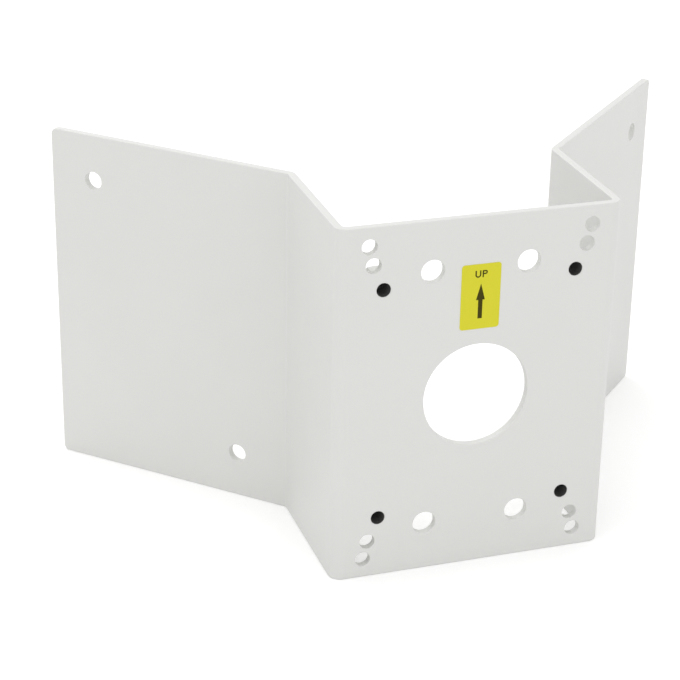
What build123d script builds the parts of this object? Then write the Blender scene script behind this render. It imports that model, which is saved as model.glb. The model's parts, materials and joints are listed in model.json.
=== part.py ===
from build123d import *

import os
from math import cos, radians, sin, tan

# Corner bracket for a camera arm: one folded sheet, four hexagonal clinch nuts and a direction label.
# X runs along the front plate, Y goes back to the building and Z is up. The bracket stands on Z = 0,
# and the origin is below the middle of its outline. Sizes are in millimetres, angles in degrees.

# Folded sheet: front plate, two webs behind it, and two wings that lie on the walls of the building
sheet_height = 180.0
sheet_thickness = 4.0
front_width = 140.0  # over the outside of the two webs
web_depth = 76.5  # front face to the start of the wing, on the seen side
wing_length = 134.0  # start of the wing to its outer end, on the seen side
wing_angle = 45.0  # between a wing and the front plate
inside_bend_radius = 2.0
wing_corner_radius = 3.0
edge_radius = 0.5  # rounding of the sheet's outline
rim_chamfer = 0.3  # at both ends of each open hole

# Holes in the front plate: one in the middle for the cables, and three rectangles of four for screws.
# "From side" is from the outside of a web, and "from end" is from the top or bottom edge of the sheet.
cable_hole_diameter = 52.5
large_hole_diameter = 11.5
large_hole_from_middle = 23.7
large_hole_from_end = 24.8
small_hole_diameter = 7.5
outer_hole_from_side = 15.5
outer_hole_from_end = 9.6
inner_hole_from_side = 17.6
inner_hole_from_end = 18.9

# Holes in each wing: one high near the wing's tip, one low near the bend
wing_hole_diameter = 9.5
wing_hole_from_end = 23.8
wing_hole_from_tip = 24.0
wing_hole_from_bend = 28.2

# Clinch nuts: a collar pressed through the front plate, and a hexagon behind it
nut_from_side = 22.7
nut_from_end = 31.2
nut_across_flats = 14.0
nut_body_length = 9.0
nut_end_diameter = 13.4  # round face that the bevelled corners leave at the back
nut_bevel_angle = 30.0
nut_collar_diameter = 10.5
nut_bore_diameter = 6.65  # over the crests of an M8 thread
nut_mouth_chamfer = 0.4

# Direction label on the front plate, above the cable hole
label_width = 19.5
label_height = 32.5
label_thickness = 0.2
label_corner_radius = 1.5
label_from_cable_hole = 7.8

# Derived sizes and places. Half the width and height of each pattern are from the front plate's centre.
half_width = front_width / 2
half_height = sheet_height / 2
large_holes = (large_hole_from_middle, half_height - large_hole_from_end)
outer_holes = (half_width - outer_hole_from_side, half_height - outer_hole_from_end)
inner_holes = (half_width - inner_hole_from_side, half_height - inner_hole_from_end)
nut_places = (half_width - nut_from_side, half_height - nut_from_end)
wing_hole_rise = half_height - wing_hole_from_end
label_rise = cable_hole_diameter / 2 + label_from_cable_hole + label_height / 2
wing_across = cos(radians(wing_angle))
wing_back = sin(radians(wing_angle))
outside_bend_radius = inside_bend_radius + sheet_thickness
square_length = wing_length - edge_radius
square_thickness = sheet_thickness - edge_radius
end_reach = square_length * wing_back + square_thickness * wing_across + edge_radius
front_y = (label_thickness - web_depth - end_reach) / 2
front_face = Plane(origin=(0, front_y, half_height), x_dir=(1, 0, 0), z_dir=(0, -1, 0))


def wing_face(side):
    """Seen face of a wing: its origin is where the wing starts, at mid height. side: -1 left, 1 right."""
    return Plane(
        origin=(side * half_width, front_y + web_depth, half_height),
        x_dir=(wing_across, side * wing_back, 0),
        z_dir=(side * wing_back, -wing_across, 0),
    )


def four_places(across, rise):
    """Corners of a rectangle about the plate's centre: upper left, upper right, lower left, lower right."""
    return [(x * across, z * rise) for z in (1, -1) for x in (-1, 1)]


def sheet_section():
    """Plan of the sheet: the line of its seen side with each bend rounded, thickened to the back."""
    tip_x = half_width + wing_length * wing_across
    tip_y = front_y + web_depth + wing_length * wing_back
    right = [(half_width, front_y), (half_width, front_y + web_depth), (tip_x, tip_y)]
    left = [(-x, y) for x, y in reversed(right)]
    bends = [inside_bend_radius, outside_bend_radius, outside_bend_radius, inside_bend_radius]
    seen_side = FilletPolyline(*left, *right, radius=bends)
    return make_face(offset(seen_side, amount=sheet_thickness, side=Side.LEFT, closed=True))


def blank():
    """The folded sheet before it is punched, with round wing corners and a softened outline."""
    sheet = extrude(sheet_section(), sheet_height)
    for side in (-1, 1):
        face = wing_face(side)
        end = sheet.faces().sort_by(Axis(face.origin, side * face.x_dir))[-1]
        sheet = fillet(end.edges().filter_by(Axis(face.origin, face.z_dir)), wing_corner_radius)
    # Each side of the sheet is bounded by one smooth line all round, so one edge of it is enough.
    outline = sheet.edges().filter_by(Axis.X).group_by(Axis.Z)[-1]
    return fillet(outline, edge_radius)


def open_hole(diameter):
    """Cutter for a round hole along Z through the sheet, whose seen face is Z = 0, with chamfered rims."""
    radius = diameter / 2
    rim = Cone(radius, radius + 2 * rim_chamfer, 2 * rim_chamfer)
    return Cylinder(radius, 4 * sheet_thickness) + rim + Pos(0, 0, -sheet_thickness) * mirror(rim, Plane.XY)


def bracket_sheet():
    """The one-piece sheet with all its holes."""
    holes = [(front_face, (0, 0), open_hole(cable_hole_diameter))]
    for cutter, pattern in (
        (open_hole(large_hole_diameter), large_holes),
        (open_hole(small_hole_diameter), outer_holes),
        (open_hole(small_hole_diameter), inner_holes),
        (Cylinder(nut_collar_diameter / 2, 4 * sheet_thickness), nut_places),
    ):
        holes += [(front_face, place, cutter) for place in four_places(*pattern)]
    for side in (-1, 1):
        high = (side * (wing_length - wing_hole_from_tip), wing_hole_rise)
        low = (side * wing_hole_from_bend, -wing_hole_rise)
        holes += [(wing_face(side), place, open_hole(wing_hole_diameter)) for place in (high, low)]
    sheet = blank()
    for face, (x, z), cutter in holes:
        sheet -= face * Pos(x, z) * cutter
    return sheet


def clinch_nut():
    """A nut along Z, from its collar's end at Z = 0 to the far end of its hexagon."""
    collar = extrude(Circle(nut_collar_diameter / 2), sheet_thickness)
    hexagon = RegularPolygon(nut_across_flats / 2, 6, major_radius=False)
    bevel_start = nut_end_diameter / 2 + nut_body_length / tan(radians(nut_bevel_angle))
    on_base = (Align.CENTER, Align.CENTER, Align.MIN)
    bevel = Cone(bevel_start, nut_end_diameter / 2, nut_body_length, align=on_base)
    body = Pos(0, 0, sheet_thickness) * (extrude(hexagon, nut_body_length) & bevel)
    nut = collar + body - Cylinder(nut_bore_diameter / 2, 4 * (sheet_thickness + nut_body_length))
    bore_edges = nut.edges().filter_by(GeomType.CIRCLE).group_by(SortBy.RADIUS)[0]
    return chamfer(bore_edges, nut_mouth_chamfer)


def direction_label():
    """The thin label, on the front face."""
    outline = RectangleRounded(label_width, label_height, label_corner_radius)
    return front_face * Pos(0, label_rise) * extrude(outline, label_thickness)


pieces = {"bracket_sheet": bracket_sheet(), "direction_label": direction_label()}
nut_names = ("upper_left", "upper_right", "lower_left", "lower_right")
for name, (x, z) in zip(nut_names, four_places(*nut_places)):
    from_front = Plane(origin=front_face.from_local_coords((x, z, 0)), x_dir=(1, 0, 0), z_dir=(0, 1, 0))
    pieces["clinch_nut_" + name] = from_front * clinch_nut()

os.makedirs("parts", exist_ok=True)
for name, piece in pieces.items():
    export_step(piece, f"parts/{name}.step")
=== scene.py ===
import json
import logging
from dataclasses import dataclass, field
from enum import Enum
from typing import ClassVar

import bpy
import numpy as np
from mathutils import Matrix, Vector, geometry


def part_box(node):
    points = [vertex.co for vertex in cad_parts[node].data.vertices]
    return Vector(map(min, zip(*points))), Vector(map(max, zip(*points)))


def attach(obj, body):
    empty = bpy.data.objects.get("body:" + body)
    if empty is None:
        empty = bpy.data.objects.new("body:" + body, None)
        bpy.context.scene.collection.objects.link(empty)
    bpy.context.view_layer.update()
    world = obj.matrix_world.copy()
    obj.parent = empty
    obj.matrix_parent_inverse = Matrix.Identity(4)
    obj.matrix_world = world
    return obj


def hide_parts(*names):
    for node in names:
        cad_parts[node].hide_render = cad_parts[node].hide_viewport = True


# Looks of a corner bracket that holds a camera arm at the outside corner of a building: one folded and
# powder coated sheet with round holes, four clinch nuts with real threads, and a yellow direction label.
# Metres throughout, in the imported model's frame: X along the front plate, Y back to the building, Z up.

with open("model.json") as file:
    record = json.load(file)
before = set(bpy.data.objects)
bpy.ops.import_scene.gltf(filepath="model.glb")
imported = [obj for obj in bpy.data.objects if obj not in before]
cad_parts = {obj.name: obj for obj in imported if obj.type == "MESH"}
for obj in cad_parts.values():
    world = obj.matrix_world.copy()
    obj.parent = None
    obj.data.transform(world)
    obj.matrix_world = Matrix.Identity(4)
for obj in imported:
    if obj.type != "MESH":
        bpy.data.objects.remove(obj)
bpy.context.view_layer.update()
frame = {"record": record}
MM = 0.001
QUARTER = np.pi / 2
SAME_POINT = 1e-5  # millimetres, within which the triangulation takes two points for one
WHOLE_HULL = 0  # the triangulation's output that fills everything, holes too
LOG = logging.getLogger("corner_bracket")
SocketValue = float | tuple[float, ...] | bpy.types.NodeSocket


class Slot(Enum):
    """The record's material slots that a piece can take its finish from."""

    POWDER_COAT = "powder_coat"
    NUT_METAL = "nut_metal"
    LABEL_FILM = "label_film"


class Side(Enum):
    """The two sides of the bracket, as the sign of X."""

    LEFT = -1
    RIGHT = 1


class Path(Enum):
    """Light paths that meet the plain white studio instead of its lamps."""

    CAMERA = "Is Camera Ray"
    MIRROR = "Is Glossy Ray"
    GLASS = "Is Transmission Ray"


# Finishes


@dataclass(frozen=True)
class NodeSheet:
    """A node tree with short calls that make its nodes and link them."""

    tree: bpy.types.NodeTree

    def add(self, kind: str, **sockets: SocketValue) -> bpy.types.NodeSocket:
        """Makes a node.

        Args:
            kind: the node's type, without the ShaderNode in front.
            **sockets: its inputs by name, with _ for a space, and for each a value or an output to link.

        Returns:
            The node's first output.
        """
        node = self.tree.nodes.new("ShaderNode" + kind)
        for name, value in sockets.items():
            target = node.inputs[name.replace("_", " ")]
            if isinstance(value, bpy.types.NodeSocket):
                self.tree.links.new(value, target)
            else:
                target.default_value = value
        return node.outputs[0]

    def end(self, kind: str, surface: bpy.types.NodeSocket) -> None:
        """Makes the tree's output node, on a surface."""
        node = self.tree.nodes.new("ShaderNode" + kind)
        self.tree.links.new(surface, node.inputs["Surface"])

    def larger(self, first: bpy.types.NodeSocket, second: bpy.types.NodeSocket) -> bpy.types.NodeSocket:
        """Makes a Math node that gives the larger of two values.

        Args:
            first: one value.
            second: the other value.

        Returns:
            The node's output.
        """
        node = self.tree.nodes.new("ShaderNodeMath")
        node.operation = "MAXIMUM"
        self.tree.links.new(first, node.inputs[0])
        self.tree.links.new(second, node.inputs[1])
        return node.outputs[0]

    def blend(self, amount: bpy.types.NodeSocket, first: tuple, second: tuple) -> bpy.types.NodeSocket:
        """Mixes two colours.

        Args:
            amount: share of the second colour, from 0 to 1.
            first: the colour at 0.
            second: the colour at 1.

        Returns:
            The mix.
        """
        node = self.tree.nodes.new("ShaderNodeMix")
        node.data_type = "RGBA"
        # These are its factor and its sockets for colours. It has others for numbers and vectors
        factor, colour_a, colour_b, mix = node.inputs[0], node.inputs[6], node.inputs[7], node.outputs[2]
        self.tree.links.new(amount, factor)
        colour_a.default_value = (*first, 1)
        colour_b.default_value = (*second, 1)
        return mix

    def grain(self, centre: np.ndarray, size: float, detail: float) -> bpy.types.NodeSocket:
        """Noise whose lumps are about one size apart, centred on a piece.

        Args:
            centre: the piece's centre, in metres.
            size: distance from lump to lump, in metres.
            detail: octaves of finer noise on the lumps.

        Returns:
            The noise, from 0 to 1.
        """
        place = self.tree.nodes.new("ShaderNodeTexCoord").outputs["Object"]
        turned = self.add("Mapping", Vector=place, Location=tuple(-centre / size), Scale=(1 / size,) * 3)
        return self.add("TexNoise", Vector=turned, Scale=1.0, Detail=detail)

    def distance(self) -> bpy.types.NodeSocket:
        """Measures how far each point is from the object's own origin.

        Returns:
            The distance, in metres.
        """
        place = self.tree.nodes.new("ShaderNodeTexCoord").outputs["Object"]
        node = self.tree.nodes.new("ShaderNodeVectorMath")
        node.operation = "LENGTH"
        self.tree.links.new(place, node.inputs[0])
        return node.outputs["Value"]

    def seen_plain(self) -> bpy.types.NodeSocket:
        """Tells the light paths that should meet plain white from those that light the object.

        Returns:
            1 on the first, 0 on the others.
        """
        paths = self.tree.nodes.new("ShaderNodeLightPath")
        camera, mirror, glass = [paths.outputs[path.value] for path in Path]
        return self.larger(camera, self.larger(mirror, glass))


@dataclass(frozen=True)
class Relief:
    """One layer of fine bumps on a finish."""

    size: float
    height: float
    detail: float = 1.0


@dataclass(frozen=True)
class Finish:
    """A surface finish: two near colours in soft clouds, a band of roughness and layers of fine relief."""

    name: str
    colour: tuple[float, float, float]
    shade: tuple[float, float, float]
    cloud: float
    roughness: tuple[float, float]
    relief: tuple[Relief, ...]
    specular: float = 0.5
    cloud_detail: float = 2.0
    cloud_span: tuple[float, float] = (0.3, 0.7)  # of noise, over which the roughness changes

    def material(self, centre: np.ndarray) -> bpy.types.Material:
        """Builds the finish for a piece.

        Args:
            centre: centre of the piece, in metres, about which the patterns lie.

        Returns:
            The material.
        """
        material = bpy.data.materials.new(self.name)
        material.use_nodes = True
        tree = material.node_tree
        tree.nodes.clear()
        sheet = NodeSheet(tree)
        clouds = sheet.grain(centre, self.cloud, self.cloud_detail)
        colour = sheet.blend(clouds, self.colour, self.shade)
        (low, high), (first, last) = self.roughness, self.cloud_span
        rough = sheet.add("MapRange", Value=clouds, From_Min=first, From_Max=last, To_Min=low, To_Max=high)
        sockets = {}
        for layer in self.relief:
            lumps = sheet.grain(centre, layer.size, layer.detail)
            sockets["Normal"] = sheet.add("Bump", Height=lumps, Distance=layer.height, **sockets)
        surface = sheet.add(
            "BsdfPrincipled",
            Base_Color=colour,
            Roughness=rough,
            Specular_IOR_Level=self.specular,
            **sockets,
        )
        sheet.end("OutputMaterial", surface)
        return material


@dataclass(frozen=True)
class PowderCoat(Finish):
    """Off-white powder, baked on: satin, with the soft peel and the fine grain of a sprayed powder."""

    name: str = "off_white_powder_coat"
    colour: tuple[float, float, float] = (0.715, 0.715, 0.697)
    shade: tuple[float, float, float] = (0.695, 0.695, 0.677)
    cloud: float = 45 * MM
    roughness: tuple[float, float] = (0.42, 0.50)
    relief: tuple[Relief, ...] = (
        Relief(size=1.8 * MM, height=0.016 * MM),
        Relief(size=0.45 * MM, height=0.003 * MM, detail=2.0),
    )
    specular: float = 0.35


@dataclass(frozen=True)
class ThreadSteel(Finish):
    """Dark phosphated steel of a cut thread, dull and nearly black."""

    name: str = "dark_thread_steel"
    colour: tuple[float, float, float] = (0.090, 0.090, 0.087)
    shade: tuple[float, float, float] = (0.064, 0.064, 0.062)
    cloud: float = 2.5 * MM
    roughness: tuple[float, float] = (0.58, 0.70)
    relief: tuple[Relief, ...] = (Relief(size=0.25 * MM, height=0.004 * MM, detail=2.0),)
    specular: float = 0.06


@dataclass(frozen=True)
class LabelFilm(Finish):
    """Yellow printed film, smooth, with the faint waviness of its glue."""

    name: str = "yellow_label_film"
    colour: tuple[float, float, float] = (0.662, 0.628, 0.011)
    shade: tuple[float, float, float] = (0.640, 0.608, 0.009)
    cloud: float = 9 * MM
    roughness: tuple[float, float] = (0.34, 0.42)
    relief: tuple[Relief, ...] = (Relief(size=5 * MM, height=0.010 * MM),)
    specular: float = 0.42


@dataclass(frozen=True)
class PrintInk(Finish):
    """Dark ink on the label, a little duller than the film."""

    name: str = "dark_label_ink"
    colour: tuple[float, float, float] = (0.058, 0.050, 0.003)
    shade: tuple[float, float, float] = (0.050, 0.042, 0.003)
    cloud: float = 3 * MM
    roughness: tuple[float, float] = (0.42, 0.52)
    relief: tuple[Relief, ...] = (Relief(size=0.3 * MM, height=0.001 * MM),)
    specular: float = 0.10


# Meshes


def make_piece(
    name: str, places: np.ndarray, faces: list[list[int]], nodes: list[str]
) -> bpy.types.Object:
    """Puts a mesh into the scene as a piece of the bracket.

    Args:
        name: the piece's name.
        places: its vertices, n by 3.
        faces: vertex numbers of each face, anticlockwise from outside.
        nodes: the CAD nodes that it stands for.

    Returns:
        The object, at the origin, smooth shaded.
    """
    mesh = bpy.data.meshes.new(name)
    mesh.from_pydata(places.tolist(), [], faces)
    mesh.polygons.foreach_set("use_smooth", np.ones(len(faces), bool))
    piece = bpy.data.objects.new(name, mesh)
    bpy.context.scene.collection.objects.link(piece)
    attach(piece, "root")
    if nodes:
        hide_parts(*nodes)
    return piece


def report(piece: bpy.types.Object) -> None:
    """Logs a piece's name, size and number of faces."""
    size = " x ".join(f"{length / MM:.1f}" for length in piece.dimensions)
    LOG.info("%s: %s mm, %d faces", piece.name, size, len(piece.data.polygons))


def ring_steps(count: int) -> np.ndarray:
    """Pairs of neighbours round a closed ring of points, the last with the first."""
    here = np.arange(count)
    return np.stack([here, np.roll(here, -1)], axis=1)


def grid_quads(grid: np.ndarray, closed: bool) -> np.ndarray:
    """Quads between neighbours of a grid of vertex numbers whose rows close on themselves.

    Args:
        grid: vertex numbers, rows round the ring and columns across it.
        closed: whether the last column also meets the first.

    Returns:
        One row of four vertex numbers for each quad.
    """
    across = np.roll(grid, -1, axis=1)
    corners = np.stack([grid, across, np.roll(across, -1, axis=0), np.roll(grid, -1, axis=0)], axis=2)
    return (corners if closed else corners[:, :-1]).reshape(-1, 4)


@dataclass
class Rim:
    """A closed edge of a plate, on its flat pattern, with the material on its left.

    So an outline runs anticlockwise and a hole clockwise. The points lie where the flat face ends, and the
    rounded edge between face and wall lies outside them.
    """

    points: np.ndarray
    out: np.ndarray
    rounding: float = 0.0
    corner_points: ClassVar[int] = 13  # on the quarter turn of a round corner
    edge_points: ClassVar[int] = 6  # on the quarter turn of a rounded edge

    @classmethod
    def hole(cls, centre: np.ndarray, radius: float, rounding: float, count: int) -> "Rim":
        """A round hole: centre + (radius + rounding) (cos a, sin a), with a falling in equal steps.

        Args:
            centre: the hole's centre.
            radius: the hole's radius.
            rounding: radius of the rounded edge inside the points.
            count: number of points.

        Returns:
            The rim.
        """
        angle = -np.arange(count) * 2 * np.pi / count
        ray = np.stack([np.cos(angle), np.sin(angle)], axis=1)
        return cls(centre + (radius + rounding) * ray, -ray, rounding)

    @classmethod
    def outline(
        cls, low: np.ndarray, high: np.ndarray, corner: float, rounding: float, marks: np.ndarray
    ) -> "Rim":
        """A rectangle with round corners and extra points on its level edges.

        Each corner is its centre + (corner - rounding) (cos a, sin a) over a quarter turn.

        Args:
            low: the lower left corner of the rectangle.
            high: the upper right corner.
            corner: radius of its corners.
            rounding: radius of the rounded edge outside the points.
            marks: rising places on the level edges that each get a point.

        Returns:
            The rim, with the lower marks first.
        """
        turn = np.linspace(0, QUARTER, cls.corner_points)
        inner_low, inner_high = low + corner, high - corner
        corners = [(inner_high[0], inner_low[1]), inner_high, (inner_low[0], inner_high[1]), inner_low]
        starts = (np.arange(4) - 1) * QUARTER
        rays = [np.stack([np.cos(start + turn), np.sin(start + turn)], axis=1) for start in starts]
        arcs = [np.array(centre) + (corner - rounding) * ray for centre, ray in zip(corners, rays)]
        level = np.ones_like(marks)
        bottom = np.stack([marks, (low[1] + rounding) * level], axis=1)
        top = np.stack([marks[::-1], (high[1] - rounding) * level], axis=1)
        down, up = np.outer(level, (0, -1)), np.outer(level, (0, 1))
        points = np.concatenate([bottom, arcs[0], arcs[1], top, arcs[2], arcs[3]])
        out = np.concatenate([down, rays[0], rays[1], up, rays[2], rays[3]])
        return cls(points, out, rounding)

    @classmethod
    def polygon(cls, points: np.ndarray) -> "Rim":
        """A sharp rim through the points."""
        return cls(points, np.zeros_like(points))

    def section(self, thickness: float) -> np.ndarray:
        """Section of the rim from the seen side to the back.

        Over two quarter turns a, out = r sin a, and depth = r (1 - cos a), then thickness - r (1 + cos a).

        Args:
            thickness: the plate's thickness.

        Returns:
            Rows of out, depth, the normal's part along out and its part along depth.
        """
        if self.rounding == 0:
            return np.array([[0, 0, 0, -1], [0, thickness, 0, 1]], float)
        turn = np.linspace(0, QUARTER, self.edge_points)
        near = [np.sin(turn), 1 - np.cos(turn), np.sin(turn), -np.cos(turn)]
        far = [np.cos(turn), thickness / self.rounding - 1 + np.sin(turn), np.cos(turn), np.sin(turn)]
        rows = np.concatenate([np.array(near).T, np.array(far).T])
        return rows * (self.rounding, self.rounding, 1, 1)


def fill(rims: list[Rim], ties: np.ndarray) -> np.ndarray:
    """Triangles of a flat pattern between its rims.

    A Delaunay triangulation keeps each rim and tie as edges. A triangle stays if a level ray from its
    middle crosses the rims an odd number of times.

    Args:
        rims: the pattern's rims.
        ties: pairs of point numbers that have to be edges too.

    Returns:
        One row of three point numbers for each triangle.
    """
    points = np.concatenate([rim.points for rim in rims])
    first = np.cumsum([0] + [len(rim.points) for rim in rims[:-1]])
    edges = np.concatenate([start + ring_steps(len(rim.points)) for start, rim in zip(first, rims)])
    kept = np.concatenate([edges, ties])
    found, _, faces, numbers, _, _ = geometry.delaunay_2d_cdt(
        (points / MM).tolist(), kept.tolist(), [], WHOLE_HULL, SAME_POINT
    )
    if len(found) != len(points):
        raise ValueError("two rims of a plate touch")
    triangles = np.concatenate(numbers)[np.array(faces)]
    middle = points[triangles].mean(axis=1)[:, None]
    start, end = points[edges[:, 0]], points[edges[:, 1]]
    run, reach = end - start, middle - start
    crosses = (start[:, 1] > middle[..., 1]) != (end[:, 1] > middle[..., 1])
    on_right = (run[:, 0] * reach[..., 1] > run[:, 1] * reach[..., 0]) == (run[:, 1] > 0)
    return triangles[(crosses & on_right).sum(axis=1) % 2 == 1]


@dataclass
class Plate:
    """A sheet of even thickness, upright and facing the viewer, with its seen side at one depth."""

    thickness: float
    face_y: float

    def spread(self, flat: np.ndarray) -> tuple[np.ndarray, np.ndarray, np.ndarray]:
        """Lays points of the flat pattern on the seen side.

        Args:
            flat: points on the flat pattern, n by 2.

        Returns:
            Their places, the level direction along the plate and the direction that its seen side faces.
        """
        level = np.ones(len(flat))
        places = np.stack([flat[:, 0], self.face_y * level, flat[:, 1]], axis=1)
        return places, np.outer(level, (1, 0, 0)), np.outer(level, (0, -1, 0))

    def solid(
        self, name: str, rims: list[Rim], ties: np.ndarray, slot: Slot, nodes: list[str]
    ) -> bpy.types.Object:
        """Makes the plate as a closed mesh with exact normals.

        Each vertex is a point of the pattern, moved out by its rim's section and back by its depth.

        Args:
            name: the piece's name.
            rims: outline and holes.
            ties: pairs of point numbers that have to be edges.
            slot: the record's slot of its finish; not used.
            nodes: the CAD nodes that it stands for.

        Returns:
            The object.
        """
        rim_points = np.concatenate([rim.points for rim in rims])
        count = len(rim_points)
        face = np.zeros((count, 4)) + (0, 0, 0, -1)
        back = np.zeros((count, 4)) + (0, self.thickness, 0, 1)
        flats, outs, sections = [rim_points] * 2, [np.zeros((count, 2))] * 2, [face, back]
        quads, first, made = [], 0, 2 * count
        for rim in rims:
            around = len(rim.points)
            inner = rim.section(self.thickness)[1:-1]
            flats.append(np.repeat(rim.points, len(inner), axis=0))
            outs.append(np.repeat(rim.out, len(inner), axis=0))
            sections.append(np.tile(inner, (around, 1)))
            rows = made + np.arange(around * len(inner)).reshape(around, -1)
            seen = first + np.arange(around)[:, None]
            quads.append(grid_quads(np.concatenate([seen, rows, seen + count], axis=1), closed=False))
            first += around
            made += around * len(inner)
        flat, out, section = np.concatenate(flats), np.concatenate(outs), np.concatenate(sections)
        shift, depth, normal_out, normal_depth = section.T[..., None]
        places, along, seen = self.spread(flat + shift * out)
        outward = out[:, :1] * along + out[:, 1:] * (0, 0, 1)
        triangles = fill(rims, ties)
        front, rear = triangles.tolist(), (triangles[:, ::-1] + count).tolist()
        faces = front + rear + np.concatenate(quads).tolist()
        piece = make_piece(name, places - depth * seen, faces, nodes)
        piece.data.normals_split_custom_set_from_vertices(normal_out * outward - normal_depth * seen)
        return piece


# Pieces


@dataclass
class HolePattern:
    """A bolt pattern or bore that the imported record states."""

    mount: str
    places: np.ndarray = field(init=False)
    radius: float = field(init=False)

    def __post_init__(self) -> None:
        """Reads the holes' centres and radius, in metres, from the record."""
        stated = next(row for row in frame["record"]["mounts"] if row["name"] == self.mount)
        sizes = stated["dims"]
        centre = np.array(stated["pos_m"])
        if stated["kind"] == "bore":
            self.places = centre[None]
            self.radius = sizes["r_mm"] * MM
        else:
            half = np.array([sizes["spacing_x_mm"], 0, sizes["spacing_y_mm"]]) * MM / 2
            signs = np.array([(-1, 0, 1), (1, 0, 1), (-1, 0, -1), (1, 0, -1)])
            self.places = centre + signs * half
            self.radius = sizes["hole_r_mm"] * MM


@dataclass
class FoldedSheet(Plate):
    """The one-piece sheet: front plate, two webs folded back, and two wings folded out at 45 degrees.

    Its flat pattern has the walk along the seen side's section from the middle of the front plate, negative
    on the left, and the height. The walk is made of runs of constant curvature.
    """

    thickness: float = 4.0 * MM
    face_y: float = field(default_factory=lambda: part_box("direction_label")[1].y)
    half_width: float = 70.0 * MM
    web_depth: float = 76.5 * MM
    wing_length: float = 134.0 * MM
    wing_turn: float = np.radians(45)
    inside_radius: float = 2.0 * MM
    corner_radius: float = 3.0 * MM
    edge_radius: float = 0.5 * MM
    hole_rounding: float = 0.3 * MM
    seat_radius: float = 5.25 * MM
    bend_steps: int = 20
    cable_hole_points: int = 192
    large_hole_points: int = 72
    small_hole_points: int = 60
    nuts: HolePattern = field(default_factory=lambda: HolePattern("arm_nuts"))

    def runs(self) -> np.ndarray:
        """Lists the runs of half the section, from the middle to a wing's tip.

        Returns:
            Rows of length and curvature.
        """
        outside_radius = self.inside_radius + self.thickness
        front_cut = outside_radius * np.tan(QUARTER / 2)
        wing_cut = self.inside_radius * np.tan(self.wing_turn / 2)
        return np.array(
            [
                (self.half_width - front_cut, 0),
                (outside_radius * QUARTER, 1 / outside_radius),
                (self.web_depth - front_cut - wing_cut, 0),
                (self.inside_radius * self.wing_turn, -1 / self.inside_radius),
                (self.wing_length - wing_cut, 0),
            ]
        )

    def run_starts(self) -> tuple[np.ndarray, np.ndarray]:
        """Adds up the lengths, and the lengths times curvatures, of the runs before each run.

        Returns:
            The walk and the heading at which each run starts.
        """
        length, curvature = self.runs().T
        starts = np.concatenate([[0], np.cumsum(length)[:-1]])
        headings = np.concatenate([[0], np.cumsum(length * curvature)[:-1]])
        return starts, headings

    def chord(self, run: np.ndarray, part: np.ndarray) -> np.ndarray:
        """Steps straight over the first part of each run.

        A run of curvature k that starts at heading h ends, after a length d, a chord d sin(kd/2) / (kd/2)
        away in the direction h + kd/2.

        Args:
            run: numbers of the runs.
            part: length of each run that is stepped over.

        Returns:
            The steps, n by 2 (X and Y).
        """
        half_turn = self.runs()[run, 1] * part / 2
        heading = self.run_starts()[1][run] + half_turn
        step = part * np.sinc(half_turn / np.pi)
        return np.stack([np.cos(heading), np.sin(heading)], axis=1) * step[:, None]

    def walk(self, distance: np.ndarray) -> tuple[np.ndarray, np.ndarray]:
        """Goes along the seen side's section: whole runs first, and then a part of the last one.

        Args:
            distance: walks from the middle of the front plate, negative to the left.

        Returns:
            The places reached, n by 2 (X and Y), and the directions walked in.
        """
        length, curvature = self.runs().T
        starts, headings = self.run_starts()
        whole = self.chord(np.arange(len(length)), length)
        corners = np.cumsum(np.concatenate([np.zeros((1, 2)), whole]), axis=0)
        side = np.where(distance < 0, -1.0, 1.0)
        run = np.clip(np.searchsorted(starts, np.abs(distance), side="right") - 1, 0, len(length) - 1)
        part = np.abs(distance) - starts[run]
        reached = corners[run] + self.chord(run, part)
        heading = headings[run] + curvature[run] * part
        places = np.stack([side * reached[:, 0], self.face_y + reached[:, 1]], axis=1)
        return places, np.stack([np.cos(heading), side * np.sin(heading)], axis=1)

    def spread(self, flat: np.ndarray) -> tuple[np.ndarray, np.ndarray, np.ndarray]:
        """Folds the flat pattern: the walk gives X and Y, and the height stays.

        Args:
            flat: points on the flat pattern, n by 2.

        Returns:
            Their places, the level direction along the sheet and the direction that its seen side faces.
        """
        (x, y), (ahead_x, ahead_y) = [rows.T for rows in self.walk(flat[:, 0])]
        flat_z = np.zeros_like(x)
        along = np.stack([ahead_x, ahead_y, flat_z], axis=1)
        seen = np.stack([ahead_y, -ahead_x, flat_z], axis=1)
        return np.stack([x, y, flat[:, 1]], axis=1), along, seen

    def bend_marks(self) -> np.ndarray:
        """Lists the walks at which a line crosses the sheet: the ends of each bend and steps between them.

        Returns:
            The walks, rising.
        """
        length, curvature = self.runs().T
        starts, bent = self.run_starts()[0], curvature != 0
        ends = starts + length
        right = np.linspace(starts[bent], ends[bent], self.bend_steps + 1, axis=1).ravel()
        return np.concatenate([-right[::-1], right])

    def wing_walk(self, places: np.ndarray, side: Side) -> np.ndarray:
        """Finds places in a wing on the flat pattern: the walk to its tip, less the way back from it.

        Args:
            places: places inside the wing, n by 3.
            side: the wing's side.

        Returns:
            Points on the flat pattern, n by 2.
        """
        whole = self.runs()[:, 0].sum() * side.value
        tip, ahead = self.walk(np.array([whole]))
        return np.stack([whole + (places[:, :2] - tip) @ ahead[0], places[:, 2]], axis=1)

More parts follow.
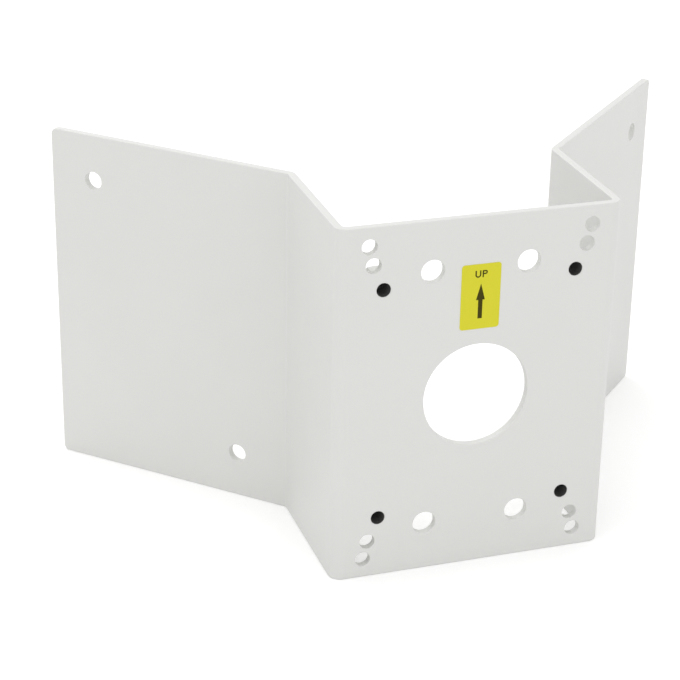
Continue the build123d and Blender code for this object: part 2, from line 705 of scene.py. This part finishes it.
    def holes(self) -> list[Rim]:
        """Cuts the cable hole, the screw holes, the seats of the nuts and the wings' holes.

        Returns:
            Their rims.
        """
        rims = []
        for mount, count in (
            ("cable_hole", self.cable_hole_points),
            ("arm_holes_large", self.large_hole_points),
            ("arm_holes_outer", self.small_hole_points),
            ("arm_holes_inner", self.small_hole_points),
        ):
            pattern = HolePattern(mount)
            centres = pattern.places[:, [0, 2]]
            rims += [Rim.hole(centre, pattern.radius, self.hole_rounding, count) for centre in centres]
        seats = self.nuts.places[:, [0, 2]]
        rims += [Rim.hole(centre, self.seat_radius, 0.0, ClinchNut.around) for centre in seats]
        for side in Side:
            for level in ("high", "low"):
                pattern = HolePattern(f"wall_hole_{side.name.lower()}_{level}")
                centre = self.wing_walk(pattern.places, side)[0]
                rims.append(Rim.hole(centre, pattern.radius, self.hole_rounding, self.large_hole_points))
        return rims

    def build(self) -> bpy.types.Object:
        """Makes the sheet and coats it. A tie joins each mark on the lower edge to the one above it.

        Returns:
            The object.
        """
        low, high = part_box("bracket_sheet")
        reach = self.runs()[:, 0].sum()
        marks = self.bend_marks()
        bottom, top = np.array([-reach, low.z]), np.array([reach, high.z])
        outline = Rim.outline(bottom, top, self.corner_radius, self.edge_radius, marks)
        numbers = np.arange(len(marks))
        first_top = len(marks) + 2 * Rim.corner_points
        ties = np.stack([numbers, first_top + numbers[::-1]], axis=1)
        rims = [outline, *self.holes()]
        sheet = self.solid("folded_sheet", rims, ties, Slot.POWDER_COAT, ["bracket_sheet"])
        sheet.data.materials.append(PowderCoat().material(np.array((low + high) / 2)))
        return sheet


@dataclass
class ClinchNut:
    """A hexagonal nut pressed into the front plate from behind, coated outside, with a bare M8 thread."""

    name: str
    centre: np.ndarray
    sheet: FoldedSheet
    across_flats: float = 14.0 * MM
    flat_turn: float = np.radians(30)
    corner_rounding: float = 0.5 * MM
    end_radius: float = 6.7 * MM
    bevel: float = np.radians(30)
    edge_softness: float = 0.25 * MM
    softness_limit: float = 0.45  # of the shorter side beside a corner
    soft_points: int = 5
    pitch: float = 1.25 * MM
    crest_share: float = 0.25  # of the pitch
    root_share: float = 0.125
    root_radius: float = 4.0 * MM
    mouth: float = 0.4 * MM
    steps_per_turn: int = 16
    sharp_angle: float = np.radians(30)
    around: ClassVar[int] = 72

    def hexagon(self, angle: np.ndarray) -> np.ndarray:
        """Radius of the hexagon at each angle.

        A flat is at (half the flats) / cos of the angle from its middle. A corner is an arc about a centre
        on the corner's ray: c cos b + root(r r - c c sin b sin b), with b the angle from that ray.

        Args:
            angle: angles about the nut's axis.

        Returns:
            The radii.
        """
        half = self.across_flats / 2
        sixth = np.pi / 3
        from_flat = (angle - self.flat_turn + sixth / 2) % sixth - sixth / 2
        from_corner = sixth / 2 - np.abs(from_flat)
        arc_centre = (half - self.corner_rounding) / np.cos(sixth / 2)
        under_root = self.corner_rounding**2 - (arc_centre * np.sin(from_corner)) ** 2
        arc = arc_centre * np.cos(from_corner) + np.sqrt(np.maximum(under_root, 0))
        flat_end = np.arctan2(arc_centre * np.sin(sixth / 2), half)
        return np.where(np.abs(from_flat) < flat_end, half / np.cos(from_flat), arc)

    def outside(self, angle: np.ndarray, length: float) -> np.ndarray:
        """Section of the outside at each angle, from the front mouth of the bore to the back one.

        Each soft corner is a parabola between two points at its softness from the corner.

        Args:
            angle: angles about the axis.
            length: the nut's whole length.

        Returns:
            Radius and depth, angles by points by 2.
        """
        same = np.ones_like(angle)
        plate, seat = self.sheet.thickness, self.sheet.seat_radius
        hexagon = self.hexagon(angle)
        bevel_depth = length - (hexagon - self.end_radius) * np.tan(self.bevel)
        mouth = HolePattern("arm_nuts").radius + self.mouth
        corners = [(hexagon, plate * same), (hexagon, bevel_depth), (self.end_radius * same, length * same)]
        path = [(mouth, 0), (seat, 0), (seat, plate), *corners, (mouth, length)]
        path = np.stack([np.stack([r * same, d * same], axis=1) for r, d in path], axis=1)
        t = np.linspace(0, 1, self.soft_points)[None, :, None]
        first, last = 3, 6  # the hexagon's corners on the path
        points = [path[:, :first]]
        for number in range(first, last):
            before, corner, after = path[:, number - 1], path[:, number], path[:, number + 1]
            back, on = before - corner, after - corner
            back_length, on_length = [np.linalg.norm(v, axis=1, keepdims=True) for v in (back, on)]
            soft = np.minimum(self.edge_softness, self.softness_limit * np.minimum(back_length, on_length))
            start = (corner + back * soft / back_length)[:, None]
            end = (corner + on * soft / on_length)[:, None]
            points.append((1 - t) ** 2 * start + 2 * t * (1 - t) * corner[:, None] + t**2 * end)
        return np.concatenate([*points, path[:, last:]], axis=1)

    def thread(self, angle: np.ndarray, length: float) -> np.ndarray:
        """Section of the bore at each angle, from the back to the front.

        The radius is a helix of trapezoid teeth: it depends on depth / pitch - angle / a whole turn. Its
        crests and roots have their shares of the pitch. It runs out at both ends, which open as cones.

        Args:
            angle: angles about the axis.
            length: the nut's whole length.

        Returns:
            Radius and depth, angles by points by 2.
        """
        crest = HolePattern("arm_nuts").radius
        steps = int(round(length / self.pitch * self.steps_per_turn))
        depth = np.linspace(length, 0, steps + 1)[None, 1:-1] * np.ones((len(angle), 1))
        phase = (depth / self.pitch - angle[:, None] / (2 * np.pi)) % 1
        off_root = np.abs(2 * phase - 1)
        flank_share = 1 - self.crest_share - self.root_share
        tooth = np.clip((1 - self.crest_share - off_root) / flank_share, 0, 1)
        from_end = np.minimum(depth, length - depth)
        run_in = np.clip(from_end / self.mouth - 1 / 2, 0, 1)
        helix, cone = crest + (self.root_radius - crest) * tooth * run_in, crest + self.mouth - from_end
        return np.stack([np.maximum(helix, cone), depth], axis=2)

    def build(self) -> bpy.types.Object:
        """Makes the nut: the outside and the bore close into one ring of sections about its axis.

        Returns:
            The object.
        """
        node = "clinch_nut_" + self.name
        low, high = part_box(node)
        length = high.y - low.y
        angle = np.arange(self.around) * 2 * np.pi / self.around
        outside, thread = self.outside(angle, length), self.thread(angle, length)
        radius, depth = np.moveaxis(np.concatenate([outside, thread], axis=1), 2, 0)
        x = self.centre[0] + radius * np.cos(angle)[:, None]
        z = self.centre[2] + radius * np.sin(angle)[:, None]
        places = np.stack([x, low.y + depth, z], axis=2).reshape(-1, 3)
        grid = np.arange(len(places)).reshape(radius.shape)
        quads = grid_quads(grid, closed=True)
        nut = make_piece("threaded_nut_" + self.name, places, quads.tolist(), [node])
        middle = np.array((low + high) / 2)
        nut.data.materials.append(PowderCoat().material(middle))
        nut.data.materials.append(ThreadSteel().material(middle))
        deep = np.minimum(depth, length - depth) > self.mouth
        bare = deep & (np.arange(radius.shape[1]) >= outside.shape[1])
        nut.data.polygons.foreach_set("material_index", bare.ravel().astype(int))
        nut.data.set_sharp_from_angle(angle=self.sharp_angle)
        return nut


@dataclass
class DirectionLabel:
    """The yellow film above the cable hole, with an arrow and the word UP printed on it."""

    film: float = 0.16 * MM
    print_rise: float = 0.02 * MM
    print_sink: float = 0.01 * MM
    corner_radius: float = 1.5 * MM
    edge_radius: float = 0.06 * MM
    arrow_top: float = 9.8 * MM  # below the label's upper edge
    arrow_length: float = 17.4 * MM
    head_length: float = 8.1 * MM
    head_width: float = 4.4 * MM
    shaft_width: float = 2.15 * MM
    word_top: float = 3.2 * MM
    letter_height: float = 3.5 * MM
    letter_width: float = 2.9 * MM
    letter_gap: float = 0.65 * MM
    stroke: float = 0.65 * MM
    bowl_radius: float = 0.29  # of the P, over the letter's height
    p_width: float = 0.87  # of the P, over the U's width
    u_points: int = 25  # on the half ring of the U
    p_points: int = 21  # on the half ring of the P

    def arrow(self, tip: np.ndarray) -> Rim:
        """Draws the arrow, anticlockwise from its tip: half of it, then its mirror image.

        Args:
            tip: place of its tip.

        Returns:
            Its rim.
        """
        head, shaft = self.head_width / 2, self.shaft_width / 2
        neck, foot = -self.head_length, -self.arrow_length
        left = [(0, 0), (-head, neck), (-shaft, neck), (-shaft, foot)]
        right = [(-x, z) for x, z in left[:0:-1]]
        return Rim.polygon(tip + np.array(left + right))

    def letter_u(self, corner: np.ndarray) -> Rim:
        """Draws a U: two stems and a half ring between them.

        Args:
            corner: its lower left corner.

        Returns:
            Its rim.
        """
        radius, height = self.letter_width / 2, self.letter_height
        turn = np.linspace(-np.pi, 0, self.u_points)
        ring = np.stack([np.cos(turn), np.sin(turn)], axis=1)
        outer = (radius, radius) + radius * ring
        inner = (radius, radius) + (radius - self.stroke) * ring[::-1]
        width, stroke = self.letter_width, self.stroke
        right, left = [(width, height), (width - stroke, height)], [(stroke, height), (0, height)]
        return Rim.polygon(corner + np.concatenate([outer, right, inner, left]))

    def letter_p(self, corner: np.ndarray) -> list[Rim]:
        """Draws a P: a stem with a half ring as its bowl, and the inside of the bowl.

        Args:
            corner: its lower left corner.

        Returns:
            Its two rims.
        """
        height, stroke = self.letter_height, self.stroke
        radius = self.bowl_radius * height
        middle = np.array([self.p_width * self.letter_width - radius, height - radius])
        turn = np.linspace(-QUARTER, QUARTER, self.p_points)
        ring = np.stack([np.cos(turn), np.sin(turn)], axis=1)
        bowl, inside = middle + radius * ring, middle + (radius - stroke) * ring[::-1]
        outline = np.concatenate([[(0, 0), (stroke, 0), (stroke, middle[1] - radius)], bowl, [(0, height)]])
        counter = np.concatenate([inside, [(stroke, inside[-1, 1]), (stroke, inside[0, 1])]])
        return [Rim.polygon(corner + outline), Rim.polygon(corner + counter)]

    def build(self) -> list[bpy.types.Object]:
        """Makes the film and the print on it.

        Returns:
            The two objects.
        """
        low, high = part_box("direction_label")
        corners = np.array([low.x, low.z]), np.array([high.x, high.z])
        middle = np.array((low + high) / 2)
        outline = Rim.outline(*corners, self.corner_radius, self.edge_radius, np.empty(0))
        no_ties = np.empty((0, 2), int)
        film = Plate(self.film, high.y - self.film).solid(
            "label_film", [outline], no_ties, Slot.LABEL_FILM, ["direction_label"]
        )
        film.data.materials.append(LabelFilm().material(middle))
        half_word = (self.letter_width * (1 + self.p_width) + self.letter_gap) / 2
        letters = np.array([middle[0] - half_word, high.z - self.word_top - self.letter_height])
        second = letters + (self.letter_width + self.letter_gap, 0)
        rims = [
            self.arrow(np.array([middle[0], high.z - self.arrow_top])),
            self.letter_u(letters),
            *self.letter_p(second),
        ]
        ink = Plate(self.print_rise + self.print_sink, high.y - self.film - self.print_rise)
        printed = ink.solid("label_print", rims, no_ties, Slot.LABEL_FILM, [])
        printed.data.materials.append(PrintInk().material(middle))
        return [film, printed]


# Studio and camera


@dataclass(frozen=True)
class SoftLamp:
    """A large square lamp that looks at a point of the bracket."""

    name: str
    place: tuple[float, float, float]
    target: tuple[float, float, float]
    width: float
    power: float

    def light(self) -> None:
        """Hangs the lamp."""
        lamp = bpy.data.lights.new(self.name, "AREA")
        lamp.size = self.width
        lamp.energy = self.power
        holder = bpy.data.objects.new(self.name, lamp)
        ray = np.array(self.place) - np.array(self.target)
        holder.matrix_world = Matrix.Translation(self.place) @ look_along(ray).to_4x4()
        bpy.context.scene.collection.objects.link(holder)


def look_along(back: np.ndarray) -> Matrix:
    """Turns an object so that its Z points along a direction and its X stays level.

    Args:
        back: the direction.

    Returns:
        The turn.
    """
    z_axis = back / np.linalg.norm(back)
    x_axis = np.cross((0, 0, 1), z_axis)
    x_axis /= np.linalg.norm(x_axis)
    return Matrix(np.stack([x_axis, np.cross(z_axis, x_axis), z_axis], axis=1).tolist())


@dataclass(frozen=True)
class Studio:
    """Pale floor, even white surroundings and soft lamps, with a plain white background."""

    floor_half: float = 6.0
    floor_colour: float = 0.94
    glow: tuple[float, float] = (0.15, 0.60)  # by the bracket and far from it, where no lamp reaches
    glow_rise: tuple[float, float] = (0.5, 1.6)  # distances between which it grows
    sky: float = 0.86
    lamps: tuple[SoftLamp, ...] = (
        SoftLamp("key_lamp", place=(-1.4, -1.8, 2.0), target=(0, 0, 0.09), width=1.8, power=3.8),
        SoftLamp("top_lamp", place=(-0.3, 0.1, 2.6), target=(0, 0, 0.09), width=1.6, power=14.5),
        SoftLamp("front_lamp", place=(0.6, -2.3, 0.25), target=(0, 0, 0.05), width=1.4, power=3.8),
        SoftLamp("back_lamp", place=(-0.5, 2.2, 1.5), target=(0, 0, 0.05), width=1.6, power=9.0),
    )

    def build(self) -> None:
        """Lays the floor, lights the surroundings and hangs the lamps."""
        self.lay_floor()
        self.light_world()
        for lamp in self.lamps:
            lamp.light()

    def lay_floor(self) -> None:
        """Makes the floor.

        Its diffuse paint keeps the shadow. Its glow is there only for what sees it, and grows in step with
        the distance from the bracket.
        """
        h = self.floor_half
        mesh = bpy.data.meshes.new("floor")
        mesh.from_pydata([(-h, -h, 0), (h, -h, 0), (h, h, 0), (-h, h, 0)], [], [(0, 1, 2, 3)])
        floor = bpy.data.objects.new("floor", mesh)
        bpy.context.scene.collection.objects.link(floor)
        material = bpy.data.materials.new("pale_floor")
        material.use_nodes = True
        material.node_tree.nodes.clear()
        sheet = NodeSheet(material.node_tree)
        paint = sheet.add("BsdfDiffuse", Color=(self.floor_colour,) * 3 + (1,))
        (near, far), (weak, strong) = self.glow_rise, self.glow
        strength = sheet.add(
            "MapRange", Value=sheet.distance(), From_Min=near, From_Max=far, To_Min=weak, To_Max=strong
        )
        glow = sheet.add("Emission", Strength=strength)
        lit = sheet.tree.nodes.new("ShaderNodeAddShader")
        sheet.tree.links.new(paint, lit.inputs[0])
        sheet.tree.links.new(glow, lit.inputs[1])
        sheet.end("OutputMaterial", self.choose(sheet, paint, lit.outputs[0]))
        mesh.materials.append(material)

    def light_world(self) -> None:
        """Gives even light from all round, and plain white to what sees it."""
        world = bpy.data.worlds.new("white_studio")
        world.use_nodes = True
        world.node_tree.nodes.clear()
        sheet = NodeSheet(world.node_tree)
        lighting = sheet.add("Background", Color=(1, 1, 1, 1), Strength=self.sky)
        plain = sheet.add("Background", Color=(1, 1, 1, 1), Strength=1.0)
        sheet.end("OutputWorld", self.choose(sheet, lighting, plain))
        bpy.context.scene.world = world

    @staticmethod
    def choose(
        sheet: NodeSheet, lighting: bpy.types.NodeSocket, plain: bpy.types.NodeSocket
    ) -> bpy.types.NodeSocket:
        """Chooses between two shaders by the light's path.

        Args:
            sheet: the node tree.
            lighting: the shader on the way to the object.
            plain: the shader that is seen.

        Returns:
            The shader that is the one or the other.
        """
        mix = sheet.tree.nodes.new("ShaderNodeMixShader")
        sheet.tree.links.new(sheet.seen_plain(), mix.inputs[0])
        sheet.tree.links.new(lighting, mix.inputs[1])
        sheet.tree.links.new(plain, mix.inputs[2])
        return mix.outputs[0]


@dataclass(frozen=True)
class PhotoCamera:
    """Camera at the photograph's viewpoint, found from the sheet's edges and holes. Angles in degrees."""

    heading: float = 19.903  # of its view, from +Y towards +X
    look_down: float = 24.417
    roll: float = -1.653
    place: tuple[float, float, float] = (-0.34165, -0.91250, 0.52217)
    focal_pixels: float = 2106.0
    picture_pixels: float = 680.0
    axis_pixel: tuple[float, float] = (392.0, 340.0)
    sensor: float = 36.0

    def build(self) -> None:
        """Makes the camera and gives it to the scene."""
        camera = bpy.data.cameras.new("photo_camera")
        camera.sensor_width = self.sensor
        camera.lens = self.focal_pixels * self.sensor / self.picture_pixels
        camera.shift_x = 0.5 - self.axis_pixel[0] / self.picture_pixels
        camera.shift_y = self.axis_pixel[1] / self.picture_pixels - 0.5
        holder = bpy.data.objects.new("photo_camera", camera)
        heading, down, roll = np.radians([self.heading, self.look_down, self.roll])
        ahead = np.array([np.sin(heading) * np.cos(down), np.cos(heading) * np.cos(down), -np.sin(down)])
        turned = look_along(-ahead).to_4x4() @ Matrix.Rotation(-roll, 4, "Z")
        holder.matrix_world = Matrix.Translation(self.place) @ turned
        bpy.context.scene.collection.objects.link(holder)
        bpy.context.scene.camera = holder


def main() -> None:
    """Builds the bracket, the studio and the camera, and reports each piece."""
    logging.basicConfig(level=logging.INFO, format="%(message)s")
    sheet = FoldedSheet()
    report(sheet.build())
    places = sheet.nuts.places
    for name, place in zip(("upper_left", "upper_right", "lower_left", "lower_right"), places):
        report(ClinchNut(name, place, sheet).build())
    for piece in DirectionLabel().build():
        report(piece)
    Studio().build()
    PhotoCamera().build()
    bpy.context.scene.view_settings.view_transform = "Standard"


if __name__ == "__main__":
    main()
